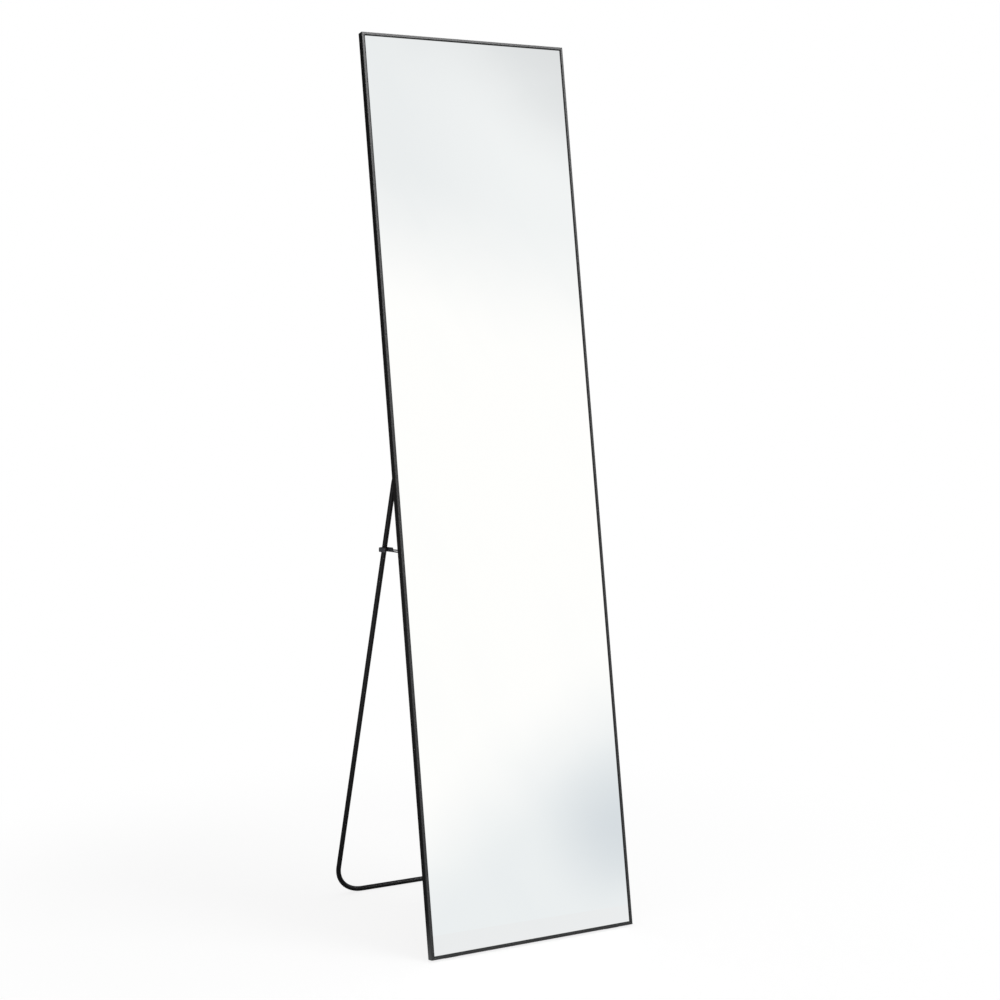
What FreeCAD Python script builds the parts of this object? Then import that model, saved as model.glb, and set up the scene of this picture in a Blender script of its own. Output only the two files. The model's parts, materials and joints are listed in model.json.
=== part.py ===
"""Leaning floor mirror: a thin framed mirror that stands on a folding U-shaped tube.

Millimetres.  +Z is up, the glass faces -Y and +X is to the right, seen from the front.
The origin is on the floor, under the middle of the space that the standing mirror takes.

Everything is first built upright: the frame stands straight up from Z = 0 with its rear
face on Y = 0, and the stand is swung open at its hinge.  At the end it all leans back
together, by the angle that puts the foot pads and the bar of the stand on one floor.
"""
import FreeCAD, Part
import math
import os

Vector = FreeCAD.Vector
ORIGIN, X_AXIS, Y_AXIS, Z_AXIS = Vector(0, 0, 0), Vector(1, 0, 0), Vector(0, 1, 0), Vector(0, 0, 1)

# Frame profile, an aluminium extrusion: a glass pocket in front of a closed rear channel
WIDTH = 380.0
HEIGHT = 1500.0
LIP_WIDTH = 5.0
LIP_THICKNESS = 1.2
LIP_BEVEL = 1.3
SIDE_WALL = 1.2
FLANGE_WIDTH = 27.0
WEB_THICKNESS = 0.9
CHANNEL_DEPTH = 3.0
REAR_WALL = 1.0
FRONT_EDGE_RADIUS = 0.4
REAR_EDGE_RADIUS = 1.0

# What the glass pocket holds, from the front
GLASS_THICKNESS = 4.0
FILM_THICKNESS = 0.2
BOARD_THICKNESS = 2.5
FOAM_THICKNESS = 0.6
FOAM_WIDTH = 10.0
POCKET_GAP = 0.6

# Plates inside the rear channel
PLATE_PLAY = 0.1
KEY_SIDE_GAP = 0.2
KEY_ARM = 52.0
NUT_PLATE_WIDTH = 18.0
NUT_PLATE_MARGIN = 8.0

# Screws with flat pan heads
SCREW_RADIUS = 2.0
SCREW_HEAD_RADIUS = 3.3
SCREW_HEAD_HEIGHT = 1.7
SCREW_HEAD_TOP_RADIUS = 2.5
SCREW_CLEARANCE = 0.25
THREAD_PLAY = 0.05

# Stand: one tube bent to a U, with its two ends pressed flat
TUBE_RADIUS = 4.25
LEG_LENGTH = 819.0
BEND_RADIUS = 52.0
STAND_INSET = 13.7
OPEN_ANGLE = 27.4
EYE_THICKNESS = 4.0
EYE_WIDTH = 11.0
EYE_LENGTH = 11.0
TAPER_LENGTH = 17.0

# Hinge brackets and pivots
HINGE_HEIGHT = 793.0
HINGE_STANDOFF = 8.0
HINGE_SHEET = 1.5
HINGE_EAR_RADIUS = 6.5
HINGE_BASE_WIDTH = 20.0
HINGE_BASE_TOP = 38.0
HINGE_SCREWS = (15.0, 30.0)
PIVOT_RADIUS = 2.5
PIVOT_PLAY = 0.05
BOLT_HEAD_RADIUS = 4.6
BOLT_HEAD_HEIGHT = 2.8
BOLT_HEAD_TOP_RADIUS = 3.1
BOLT_SOCKET_FLATS = 3.0
BOLT_SOCKET_DEPTH = 1.4
BOLT_TAIL = 0.8
NUT_FLATS = 8.0
NUT_HEIGHT = 3.6
NUT_COLLAR_RADIUS = 3.6
NUT_COLLAR_HEIGHT = 1.2
WASHER_RADIUS = 4.8
WASHER_THICKNESS = 0.5
WASHER_PLAY = 0.1

# Stays: loops on bent wires round the legs that stop the stand from opening further
STAY_GRIP = 150.0
STAY_TILT = 6.0
STAY_STANDOFF = 4.5
STAY_WIRE_RADIUS = 1.1
STAY_FOOT_SPREAD = 12.3
STAY_FOOT_BEND = 2.5
STAY_PIN_LENGTH = 5.4
STAY_SHOULDER_BEND = 12.0
SLEEVE_WALL = 3.4
SLEEVE_HEIGHT = 7.5
SLEEVE_CHAMFER = 0.9
SLEEVE_TAIL = 24.0
WIRE_GRIP = 8.0
SLEEVE_SIDE_GAP = 0.75
SLEEVE_END_GAP = 0.3
STAY_SHEET = 1.2
STAY_EAR_RADIUS = 3.0
STAY_EAR_GAP = 0.3
STAY_BASE_REACH = 14.5
STAY_SCREWS = (-10.0, 10.0)

# Hanging plates for a wall, near the top
HANGER_DROP = 110.0
HANGER_WIDTH = 18.0
HANGER_BRIDGE = 26.0
HANGER_TAB = 11.0
HANGER_SHEET = 1.2
HANGER_LIFT = 3.0
HANGER_BEND = 1.5
KEYHOLE_RADIUS = 4.5
KEYHOLE_SLOT_RADIUS = 2.3
KEYHOLE_SLOT_LENGTH = 8.0

# Foot pads, glued under the frame's rear half, whose back edges are pressed flat on the floor
PAD_LENGTH = 26.0
PAD_WIDTH = 7.5
PAD_THICKNESS = 1.2
PAD_FROM_SIDE = 25.0
PAD_INSET = 1.0
PAD_SQUASH = 0.4

# Worked out: depths through the frame, from the rear face at Y = 0
POCKET_DEPTH = GLASS_THICKNESS + FILM_THICKNESS + BOARD_THICKNESS + FOAM_THICKNESS
FRAME_DEPTH = LIP_THICKNESS + POCKET_DEPTH + WEB_THICKNESS + CHANNEL_DEPTH + REAR_WALL
FRONT_Y = -FRAME_DEPTH
GLASS_Y = FRONT_Y + LIP_THICKNESS
FILM_Y = GLASS_Y + GLASS_THICKNESS
BOARD_Y = FILM_Y + FILM_THICKNESS
FOAM_Y = BOARD_Y + BOARD_THICKNESS
WEB_Y = FOAM_Y + FOAM_THICKNESS
CHANNEL_Y = WEB_Y + WEB_THICKNESS

# Worked out: the hinge and the stays
HINGE_X = WIDTH / 2 - STAND_INSET
HINGE_GAP = EYE_THICKNESS / 2 + WASHER_THICKNESS + WASHER_PLAY
GRIP_Y = HINGE_STANDOFF + STAY_GRIP * math.sin(math.radians(OPEN_ANGLE))
GRIP_Z = HINGE_HEIGHT - STAY_GRIP * math.cos(math.radians(OPEN_ANGLE))
STAY_REACH = (GRIP_Y - STAY_STANDOFF) / math.cos(math.radians(STAY_TILT))
STAY_HEIGHT = GRIP_Z - STAY_REACH * math.sin(math.radians(STAY_TILT))
SLEEVE_INNER_RADIUS = TUBE_RADIUS + SLEEVE_SIDE_GAP
LOOP_RADIUS = SLEEVE_INNER_RADIUS + SLEEVE_WALL / 2


def loop_centre():
    """How far the loop's round end is centred from its pivot.  The tube crosses the sleeve
    askew, so it takes more of its length than the tube's radius."""
    askew = math.radians(OPEN_ANGLE - STAY_TILT)
    tube_reach = TUBE_RADIUS / math.cos(askew) + SLEEVE_HEIGHT / 2 * math.tan(askew)
    return STAY_REACH + tube_reach + SLEEVE_END_GAP - SLEEVE_INNER_RADIUS


def lean_angle():
    """The angle at which the pads' pressed edges and the bar of the stand share a floor."""
    opened = math.radians(OPEN_ANGLE)
    bar_y = HINGE_STANDOFF + LEG_LENGTH * math.sin(opened) + PAD_INSET
    bar_z = HINGE_HEIGHT - LEG_LENGTH * math.cos(opened) + PAD_THICKNESS
    bar_above_edge = TUBE_RADIUS + PAD_SQUASH
    return math.degrees(math.acos(bar_above_edge / math.hypot(bar_y, bar_z)) - math.atan2(bar_y, bar_z))


LEAN = lean_angle()


def leaned(point):
    """Where a point of the upright build comes to lie before the last shift."""
    lean = math.radians(LEAN)
    return Vector(point.x, point.y * math.cos(lean) + point.z * math.sin(lean),
                  point.z * math.cos(lean) - point.y * math.sin(lean))


def standing_shift():
    """From the leaned build to the floor, and to the middle of the space it takes."""
    front = leaned(Vector(0, FRONT_Y, 0)).y
    opened = math.radians(OPEN_ANGLE)
    bar = leaned(Vector(0, HINGE_STANDOFF + LEG_LENGTH * math.sin(opened),
                        HINGE_HEIGHT - LEG_LENGTH * math.cos(opened)))
    return Vector(0, -(front + bar.y + TUBE_RADIUS) / 2, TUBE_RADIUS - bar.z)


SHIFT = standing_shift()


def standing(point):
    """A point of the upright build in the part's own frame."""
    return leaned(point) + SHIFT


def lean_back(shape):
    """A copy of an upright shape, leaned back and set on the floor."""
    moved = shape.copy()
    moved.rotate(ORIGIN, X_AXIS, -LEAN)
    moved.translate(SHIFT)
    return moved


def rounded_wire(corners, closed=True):
    """A wire of straight lines through (point, radius) corners, rounded by tangent arcs."""
    starts, edges = [], []
    count = len(corners)
    for index, (point, radius) in enumerate(corners):
        inner = closed or 0 < index < count - 1
        if radius == 0 or not inner:
            starts.append((point, point))
            continue
        back = (corners[index - 1][0] - point).normalize()
        ahead = (corners[(index + 1) % count][0] - point).normalize()
        half = back.getAngle(ahead) / 2
        bisector = (back + ahead).normalize()
        first, last = (point + way * (radius / math.tan(half)) for way in (back, ahead))
        middle = point + bisector * (radius / math.sin(half) - radius)
        edges.append(Part.Arc(first, middle, last).toShape())
        starts.append((first, last))
    for index in range(count if closed else count - 1):
        line_start, line_end = starts[index][1], starts[(index + 1) % count][0]
        if line_start.distanceToPoint(line_end) > 1e-6:
            edges.append(Part.LineSegment(line_start, line_end).toShape())
    return Part.Wire(Part.__sortEdges__(edges))


def plate(corners, depth):
    """A plate from an outline of (point, radius) corners, pushed out by a vector."""
    return Part.Face(rounded_wire(corners)).extrude(depth)


def box(low, high):
    """A box between two corner points."""
    size = high - low
    return Part.makeBox(size.x, size.y, size.z, low)


def rod(radius, start, end):
    """A round rod from one point to another."""
    way = end - start
    return Part.makeCylinder(radius, way.Length, start, way)


def hexagon(flats, base, length, axis):
    """A six-sided prism with the given distance across its flats, along X."""
    corner = flats / math.sqrt(3)
    turns = [math.radians(60 * step) for step in range(6)]
    ring = [base + Vector(0, corner * math.cos(turn), corner * math.sin(turn)) for turn in turns]
    return Part.Face(Part.makePolygon(ring + ring[:1])).extrude(axis * length)


def swept(path, radius):
    """A round bar along a wire that starts at its first vertex."""
    first = path.OrderedEdges[0]
    start = first.valueAt(first.FirstParameter)
    way = first.tangentAt(first.FirstParameter)
    if first.Orientation == "Reversed":
        start, way = first.valueAt(first.LastParameter), way * -1
    circle = Part.Wire(Part.makeCircle(radius, start, way))
    return path.makePipeShell([circle], True, False)


# Screws and the holes they need -------------------------------------------------------


def screw(x, z, seat, length):
    """A screw along -Y with a tapered head, which sits on the plane Y = seat."""
    head = Part.makeCone(SCREW_HEAD_RADIUS, SCREW_HEAD_TOP_RADIUS, SCREW_HEAD_HEIGHT,
                         Vector(x, seat, z), Y_AXIS)
    return head.fuse(rod(SCREW_RADIUS, Vector(x, seat, z), Vector(x, seat - length, z)))


def screw_length(sheet):
    """Through a sheet and the rear wall, and to just short of the channel's floor."""
    return sheet + REAR_WALL + CHANNEL_DEPTH - PLATE_PLAY


def clearance_hole(x, z):
    """The hole in the frame's rear wall for a screw."""
    return rod(SCREW_RADIUS + SCREW_CLEARANCE, Vector(x, -REAR_WALL - PLATE_PLAY, z), Vector(x, 1, z))


def thread_hole(x, z):
    """The threaded hole in a plate inside the channel."""
    return rod(SCREW_RADIUS + THREAD_PLAY, Vector(x, CHANNEL_Y, z), Vector(x, 0, z))


def hinge_screw_points(side):
    return [(side * HINGE_X, HINGE_HEIGHT + up) for up in HINGE_SCREWS]


def stay_screw_points(side):
    return [(side * HINGE_X, STAY_HEIGHT + up) for up in STAY_SCREWS]


def hanger_screw_points(side):
    reach = HANGER_BRIDGE / 2 + HANGER_TAB / 2
    return [(side * HINGE_X, HEIGHT - HANGER_DROP + up) for up in (-reach, reach)]


def all_screw_points():
    points = []
    for side in (-1, 1):
        points += hinge_screw_points(side) + stay_screw_points(side) + hanger_screw_points(side)
    return points


# Frame --------------------------------------------------------------------------------


def rail(length):
    """One mitred length of the frame profile, along X with its outer side on Z = 0."""
    end = -length / 2

    def at(y, z, radius=0.0):
        return Vector(end, y, z), radius

    outline = [at(FRONT_Y, 0, FRONT_EDGE_RADIUS), at(FRONT_Y, LIP_WIDTH - LIP_BEVEL),
               at(GLASS_Y, LIP_WIDTH), at(GLASS_Y, SIDE_WALL), at(WEB_Y, SIDE_WALL),
               at(WEB_Y, FLANGE_WIDTH), at(0, FLANGE_WIDTH, FRONT_EDGE_RADIUS),
               at(0, 0, REAR_EDGE_RADIUS)]
    bar = plate(outline, Vector(length, 0, 0))
    channel = box(Vector(end, CHANNEL_Y, SIDE_WALL), Vector(-end, -REAR_WALL, FLANGE_WIDTH - SIDE_WALL))
    overhang = FLANGE_WIDTH + 1
    mitre = [Vector(end - 1, FRONT_Y, -1), Vector(-end + 1, FRONT_Y, -1),
             Vector(-end - overhang, FRONT_Y, overhang), Vector(end + overhang, FRONT_Y, overhang)]
    between_mitres = plate([(corner, 0) for corner in mitre], Vector(0, FRAME_DEPTH, 0))
    return bar.cut(channel).common(between_mitres)


def frame_rails():
    """The four sides of the frame, with the screw holes of their rear walls."""
    places = {"frame_bottom": (WIDTH, 0, Vector(0, 0, 0)),
              "frame_right": (HEIGHT, -90, Vector(WIDTH / 2, 0, HEIGHT / 2)),
              "frame_top": (WIDTH, 180, Vector(0, 0, HEIGHT)),
              "frame_left": (HEIGHT, 90, Vector(-WIDTH / 2, 0, HEIGHT / 2))}
    holes = Part.makeCompound([clearance_hole(x, z) for x, z in all_screw_points()])
    rails = {}
    for name, (length, turn, place) in places.items():
        shape = rail(length)
        shape.rotate(ORIGIN, Y_AXIS, turn)
        shape.translate(place)
        rails[name] = shape.cut(holes)
    return rails


def corner_keys():
    """Flat steel angles in the rear channel that hold each corner together, pressed in."""
    start = SIDE_WALL + KEY_SIDE_GAP
    end, inner = start + KEY_ARM, FLANGE_WIDTH - start
    outline = [(start, start), (end, start), (end, inner), (inner, inner), (inner, end), (start, end)]
    keys = {}
    for level_name, level in (("bottom", -1), ("top", 1)):
        for side_name, side in (("left", -1), ("right", 1)):
            corners = [(Vector(side * (WIDTH / 2 - across), CHANNEL_Y + PLATE_PLAY,
                               HEIGHT / 2 + level * (HEIGHT / 2 - up)), 0) for across, up in outline]
            thickness = Vector(0, CHANNEL_DEPTH - 2 * PLATE_PLAY, 0)
            keys["corner_key_%s_%s" % (level_name, side_name)] = plate(corners, thickness)
    return keys


def pocket_sheet(front, thickness):
    """A sheet that fills the glass pocket from side to side."""
    edge = SIDE_WALL + POCKET_GAP
    return box(Vector(-WIDTH / 2 + edge, front, edge),
               Vector(WIDTH / 2 - edge, front + thickness, HEIGHT - edge))


def foam_strips():
    """Four strips between the back board and the web, which press the glass on the lip."""
    edge = SIDE_WALL + POCKET_GAP
    inner = edge + FOAM_WIDTH
    half, rear = WIDTH / 2, FOAM_Y + FOAM_THICKNESS
    upright = [box(Vector(x, FOAM_Y, edge), Vector(x + FOAM_WIDTH, rear, HEIGHT - edge))
               for x in (-half + edge, half - inner)]
    level = [box(Vector(-half + inner, FOAM_Y, z), Vector(half - inner, rear, z + FOAM_WIDTH))
             for z in (edge, HEIGHT - inner)]
    return Part.makeCompound(upright + level)


def nut_plate(points):
    """A threaded plate in the rear channel, behind a row of screws one above another."""
    x = points[0][0]
    low, high = min(z for _, z in points), max(z for _, z in points)
    body = box(Vector(x - NUT_PLATE_WIDTH / 2, CHANNEL_Y + PLATE_PLAY, low - NUT_PLATE_MARGIN),
               Vector(x + NUT_PLATE_WIDTH / 2, -REAR_WALL - PLATE_PLAY, high + NUT_PLATE_MARGIN))
    return body.cut(Part.makeCompound([thread_hole(*point) for point in points]))


def foot_pad(side):
    """A rubber pad under the frame, cut flat where the floor presses its back edge."""
    outer = WIDTH / 2 - PAD_FROM_SIDE
    middle = side * (outer - PAD_LENGTH / 2)
    corners = [(Vector(middle + along * PAD_LENGTH / 2, y, -PAD_THICKNESS), 2.0)
               for along, y in ((-1, -PAD_INSET - PAD_WIDTH), (1, -PAD_INSET - PAD_WIDTH),
                                (1, -PAD_INSET), (-1, -PAD_INSET))]
    pad = lean_back(plate(corners, Vector(0, 0, PAD_THICKNESS)))
    reach = PAD_LENGTH + HEIGHT
    above_floor = box(Vector(-reach, -reach, 0), Vector(reach, reach, reach))
    return pad.common(above_floor)


# Brackets -----------------------------------------------------------------------------


def clevis(gap, sheet, pivot_y, ear_radius, hole_radius, base_width, base_low, base_high, screws):
    """A sheet bracket with two ears across X, round a pivot at Y = pivot_y, Z = 0.

    The ears are a bent U, trimmed to a round top, on a base plate with screw holes."""
    outer = gap + sheet
    top = pivot_y + ear_radius
    section = [(Vector(-outer, 0, -ear_radius), sheet), (Vector(outer, 0, -ear_radius), sheet),
               (Vector(outer, top, -ear_radius), 0), (Vector(gap, top, -ear_radius), 0),
               (Vector(gap, sheet, -ear_radius), sheet / 3), (Vector(-gap, sheet, -ear_radius), sheet / 3),
               (Vector(-gap, top, -ear_radius), 0), (Vector(-outer, top, -ear_radius), 0)]
    ears = plate(section, Vector(0, 0, 2 * ear_radius))
    round_top = rod(ear_radius, Vector(-outer, pivot_y, 0), Vector(outer, pivot_y, 0))
    below = box(Vector(-outer, 0, -ear_radius), Vector(outer, pivot_y, ear_radius))
    ears = ears.common(round_top.fuse(below))
    half = base_width / 2
    base = plate([(Vector(-half, 0, base_low), 2.0), (Vector(half, 0, base_low), 2.0),
                  (Vector(half, 0, base_high), 4.0), (Vector(-half, 0, base_high), 4.0)],
                 Vector(0, sheet, 0))
    holes = [rod(hole_radius, Vector(-outer, pivot_y, 0), Vector(outer, pivot_y, 0))]
    holes += [rod(SCREW_RADIUS + SCREW_CLEARANCE, Vector(0, 0, up), Vector(0, sheet, up)) for up in screws]
    return ears.fuse(base).removeSplitter().cut(Part.makeCompound(holes))


def hinge_bracket(side):
    bracket = clevis(HINGE_GAP, HINGE_SHEET, HINGE_STANDOFF, HINGE_EAR_RADIUS, PIVOT_RADIUS + PIVOT_PLAY,
                     HINGE_BASE_WIDTH, -HINGE_EAR_RADIUS, HINGE_BASE_TOP, HINGE_SCREWS)
    bracket.translate(Vector(side * HINGE_X, 0, HINGE_HEIGHT))
    return bracket


def stay_ear_gap():
    """Half the way between the stay bracket's ears, just inside the bent feet of the wire."""
    return STAY_FOOT_SPREAD - STAY_FOOT_BEND - STAY_EAR_GAP - STAY_SHEET


def stay_bracket(side):
    gap = stay_ear_gap()
    bracket = clevis(gap, STAY_SHEET, STAY_STANDOFF, STAY_EAR_RADIUS, STAY_WIRE_RADIUS + PIVOT_PLAY,
                     2 * (gap + STAY_SHEET), -STAY_BASE_REACH, STAY_BASE_REACH, STAY_SCREWS)
    bracket.translate(Vector(side * HINGE_X, 0, STAY_HEIGHT))
    return bracket


def hanger(side):
    """A hanging plate: a bridge of sheet on two tabs, with a keyhole for a wall screw."""
    half, foot = HANGER_WIDTH / 2, HANGER_BRIDGE / 2
    tip, lift, sheet = foot + HANGER_TAB, HANGER_LIFT, HANGER_SHEET
    outline = [(-tip, 0, 0), (-foot, 0, HANGER_BEND), (-foot, lift, 0), (foot, lift, 0),
               (foot, 0, HANGER_BEND), (tip, 0, 0), (tip, sheet, 0), (foot + sheet, sheet, 0),
               (foot + sheet, lift + sheet, HANGER_BEND), (-foot - sheet, lift + sheet, HANGER_BEND),
               (-foot - sheet, sheet, 0), (-tip, sheet, 0)]
    bridge = plate([(Vector(-half, y, z), radius) for z, y, radius in outline],
                   Vector(HANGER_WIDTH, 0, 0))
    reach = foot + HANGER_TAB / 2
    depth = Vector(0, lift + 2 * sheet, 0)
    entry, rest = Vector(0, 0, -KEYHOLE_SLOT_LENGTH / 2), Vector(0, 0, KEYHOLE_SLOT_LENGTH / 2)
    slot = box(entry - Vector(KEYHOLE_SLOT_RADIUS, 0, 0), rest + Vector(KEYHOLE_SLOT_RADIUS, 0, 0) + depth)
    holes = [rod(KEYHOLE_RADIUS, entry, entry + depth), rod(KEYHOLE_SLOT_RADIUS, rest, rest + depth), slot]
    holes += [rod(SCREW_RADIUS + SCREW_CLEARANCE, Vector(0, 0, up), Vector(0, sheet, up))
              for up in (-reach, reach)]
    bridge = bridge.cut(Part.makeCompound(holes))
    bridge.translate(Vector(side * HINGE_X, 0, HEIGHT - HANGER_DROP))
    return bridge


# Pivots, in the bracket's own place with the head on the +X side ---------------------


def at_hinge(shape, side):
    """A shape made round the right-hand pivot, moved there or mirrored to the left."""
    placed = shape.copy()
    placed.translate(Vector(HINGE_X, HINGE_STANDOFF, HINGE_HEIGHT))
    return placed if side > 0 else placed.mirror(ORIGIN, X_AXIS)


def pivot_bolt():
    """A button-head bolt through both ears, with a hexagon socket."""
    outer = HINGE_GAP + HINGE_SHEET
    head = Part.makeCone(BOLT_HEAD_RADIUS, BOLT_HEAD_TOP_RADIUS, BOLT_HEAD_HEIGHT,
                         Vector(outer, 0, 0), X_AXIS)
    socket_floor = outer + BOLT_HEAD_HEIGHT - BOLT_SOCKET_DEPTH
    head = head.cut(hexagon(BOLT_SOCKET_FLATS, Vector(socket_floor, 0, 0), BOLT_SOCKET_DEPTH + 1, X_AXIS))
    tip = -outer - NUT_HEIGHT - NUT_COLLAR_HEIGHT - BOLT_TAIL
    return head.fuse(rod(PIVOT_RADIUS, Vector(tip, 0, 0), Vector(outer, 0, 0)))


def pivot_nut():
    """A lock nut with its collar, on the inner side of the bracket."""
    seat = Vector(-HINGE_GAP - HINGE_SHEET, 0, 0)
    collar_end = seat - X_AXIS * (NUT_HEIGHT + NUT_COLLAR_HEIGHT)
    nut = hexagon(NUT_FLATS, seat, NUT_HEIGHT, X_AXIS * -1).fuse(rod(NUT_COLLAR_RADIUS, seat, collar_end))
    return nut.cut(rod(PIVOT_RADIUS + THREAD_PLAY, seat, collar_end))


def pivot_washers():
    """Plastic washers between the ears and the flat end of the tube."""
    rings = []
    for way in (-1, 1):
        start = Vector(way * HINGE_GAP, 0, 0)
        end = start - X_AXIS * (way * WASHER_THICKNESS)
        rings.append(rod(WASHER_RADIUS, start, end).cut(rod(PIVOT_RADIUS + PIVOT_PLAY, start, end)))
    return Part.makeCompound(rings)


# Stand --------------------------------------------------------------------------------


def tube_section(z, across, thick):
    """The outline of the pressed tube at a height: four arcs, or two arcs and two flats.

    It is thick along X and across along Y, with half-round edges."""
    edge_radius = thick / 2
    flat = across / 2 - edge_radius
    turn = edge_radius * math.sin(math.radians(45))
    bulge = 0.0 if flat > 0 else edge_radius
    corner_x = edge_radius if flat > 0 else turn
    corner_y = flat if flat > 0 else turn
    tip_y = flat + edge_radius

    def side(sign):
        first, last = Vector(sign * corner_x, -sign * corner_y, z), Vector(sign * corner_x, sign * corner_y, z)
        if bulge:
            return Part.Arc(first, Vector(sign * bulge, 0, z), last).toShape()
        return Part.LineSegment(first, last).toShape()

    def end(sign):
        return Part.Arc(Vector(sign * corner_x, sign * corner_y, z), Vector(0, sign * tip_y, z),
                        Vector(-sign * corner_x, sign * corner_y, z)).toShape()

    return Part.Wire([side(1), end(1), side(-1), end(-1)])


def pressed_end():
    """The flat eye at the top of a leg and the taper into the round tube, pivot at ORIGIN."""
    taper_top, taper_foot = -EYE_LENGTH, -EYE_LENGTH - TAPER_LENGTH
    taper = Part.makeLoft([tube_section(taper_top, EYE_WIDTH, EYE_THICKNESS),
                           tube_section(taper_foot, 2 * TUBE_RADIUS, 2 * TUBE_RADIUS)], True, True)
    flat_top = EYE_WIDTH / 2
    strip = Part.Face(tube_section(taper_top, EYE_WIDTH, EYE_THICKNESS))
    strip = strip.extrude(Vector(0, 0, flat_top - taper_top))
    round_end = rod(EYE_WIDTH / 2, Vector(-EYE_THICKNESS, 0, 0), Vector(EYE_THICKNESS, 0, 0))
    lower = box(Vector(-EYE_THICKNESS, -EYE_WIDTH, taper_top), Vector(EYE_THICKNESS, EYE_WIDTH, 0))
    return strip.common(round_end.fuse(lower)).fuse(taper)


def stand_tube():
    """The U: two legs, two bends and the floor bar as one sweep, with a pressed end on each."""
    top = -EYE_LENGTH - TAPER_LENGTH
    path = rounded_wire([(Vector(-HINGE_X, 0, top), 0), (Vector(-HINGE_X, 0, -LEG_LENGTH), BEND_RADIUS),
                         (Vector(HINGE_X, 0, -LEG_LENGTH), BEND_RADIUS), (Vector(HINGE_X, 0, top), 0)],
                        closed=False)
    stand = swept(path, TUBE_RADIUS)
    for side in (-1, 1):
        end = pressed_end()
        end.translate(Vector(side * HINGE_X, 0, 0))
        pin = rod(PIVOT_RADIUS + PIVOT_PLAY, Vector(side * HINGE_X - EYE_THICKNESS, 0, 0),
                  Vector(side * HINGE_X + EYE_THICKNESS, 0, 0))
        stand = stand.fuse(end).cut(pin)
    stand.rotate(ORIGIN, X_AXIS, OPEN_ANGLE)
    stand.translate(Vector(0, HINGE_STANDOFF, HINGE_HEIGHT))
    return stand


# Stays --------------------------------------------------------------------------------


def at_stay(shape, side):
    """A stay part made lying along +Y from its pivot, tilted up and moved to its bracket."""
    placed = shape.copy()
    placed.rotate(ORIGIN, X_AXIS, STAY_TILT)
    placed.translate(Vector(side * HINGE_X, STAY_STANDOFF, STAY_HEIGHT))
    return placed


def stay_wires():
    """Two bent wires, each with a pin through one ear and its other end in the sleeve."""
    sleeve_start = sleeve_span()[0]
    wires = []
    for side in (-1, 1):
        line = [(STAY_FOOT_SPREAD - STAY_PIN_LENGTH, 0, 0), (STAY_FOOT_SPREAD, 0, STAY_FOOT_BEND),
                (LOOP_RADIUS, STAY_REACH - SLEEVE_TAIL, STAY_SHOULDER_BEND),
                (LOOP_RADIUS, sleeve_start + WIRE_GRIP, 0)]
        corners = [(Vector(side * x, y, 0), radius) for x, y, radius in line]
        wires.append(swept(rounded_wire(corners, closed=False), STAY_WIRE_RADIUS))
    return Part.makeCompound(wires)


def sleeve_span():
    """Where the sleeve's two arms start, and where its round end is centred."""
    return STAY_REACH - SLEEVE_TAIL + STAY_SHOULDER_BEND / 2, loop_centre()


def stay_sleeve(wires):
    """The moulded loop on the two wires, open where the tube passes through."""
    start, end = sleeve_span()

    def band(reach):
        low = Vector(0, 0, -SLEEVE_HEIGHT / 2)
        return plate([(low + Vector(-reach, start, 0), 0), (low + Vector(reach, start, 0), 0),
                      (low + Vector(reach, end + reach, 0), reach - 0.01),
                      (low + Vector(-reach, end + reach, 0), reach - 0.01)], Vector(0, 0, SLEEVE_HEIGHT))

    sleeve = band(LOOP_RADIUS + SLEEVE_WALL / 2).cut(band(SLEEVE_INNER_RADIUS))
    rims = [edge for edge in sleeve.Edges if abs(abs(edge.CenterOfMass.z) - SLEEVE_HEIGHT / 2) < 0.01]
    return sleeve.makeChamfer(SLEEVE_CHAMFER, rims).cut(wires)


# All nodes ----------------------------------------------------------------------------


def upright_nodes():
    """Every node except the foot pads, as built upright."""
    nodes = frame_rails()
    nodes.update(corner_keys())
    nodes["mirror_glass"] = pocket_sheet(GLASS_Y, GLASS_THICKNESS)
    nodes["backing_film"] = pocket_sheet(FILM_Y, FILM_THICKNESS)
    nodes["back_board"] = pocket_sheet(BOARD_Y, BOARD_THICKNESS)
    nodes["foam_strips"] = foam_strips()
    nodes["stand_tube"] = stand_tube()
    wires = stay_wires()
    sleeve = stay_sleeve(wires)
    bolt, nut, washers = pivot_bolt(), pivot_nut(), pivot_washers()
    hinge_points, stay_points, hanger_points = [], [], []
    for name, side in (("left", -1), ("right", 1)):
        nodes["hinge_bracket_" + name] = hinge_bracket(side)
        nodes["hinge_nut_plate_" + name] = nut_plate(hinge_screw_points(side))
        nodes["pivot_bolt_" + name] = at_hinge(bolt, side)
        nodes["pivot_nut_" + name] = at_hinge(nut, side)
        nodes["stay_bracket_" + name] = stay_bracket(side)
        nodes["stay_nut_plate_" + name] = nut_plate(stay_screw_points(side))
        nodes["stay_wire_" + name] = at_stay(wires, side)
        nodes["stay_sleeve_" + name] = at_stay(sleeve, side)
        nodes["hanger_" + name] = hanger(side)
        hinge_points += hinge_screw_points(side)
        stay_points += stay_screw_points(side)
        hanger_points += hanger_screw_points(side)
    nodes["pivot_washers"] = Part.makeCompound([at_hinge(washers, side) for side in (-1, 1)])
    for name, points, sheet in (("hinge_screws", hinge_points, HINGE_SHEET),
                                ("stay_screws", stay_points, STAY_SHEET),
                                ("hanger_screws", hanger_points, HANGER_SHEET)):
        nodes[name] = Part.makeCompound([screw(x, z, sheet, screw_length(sheet)) for x, z in points])
    return nodes


def standing_nodes():
    """Every node in the part's own frame."""
    nodes = {name: lean_back(shape) for name, shape in upright_nodes().items()}
    nodes["foot_pad_left"] = foot_pad(-1)
    nodes["foot_pad_right"] = foot_pad(1)
    return nodes


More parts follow.
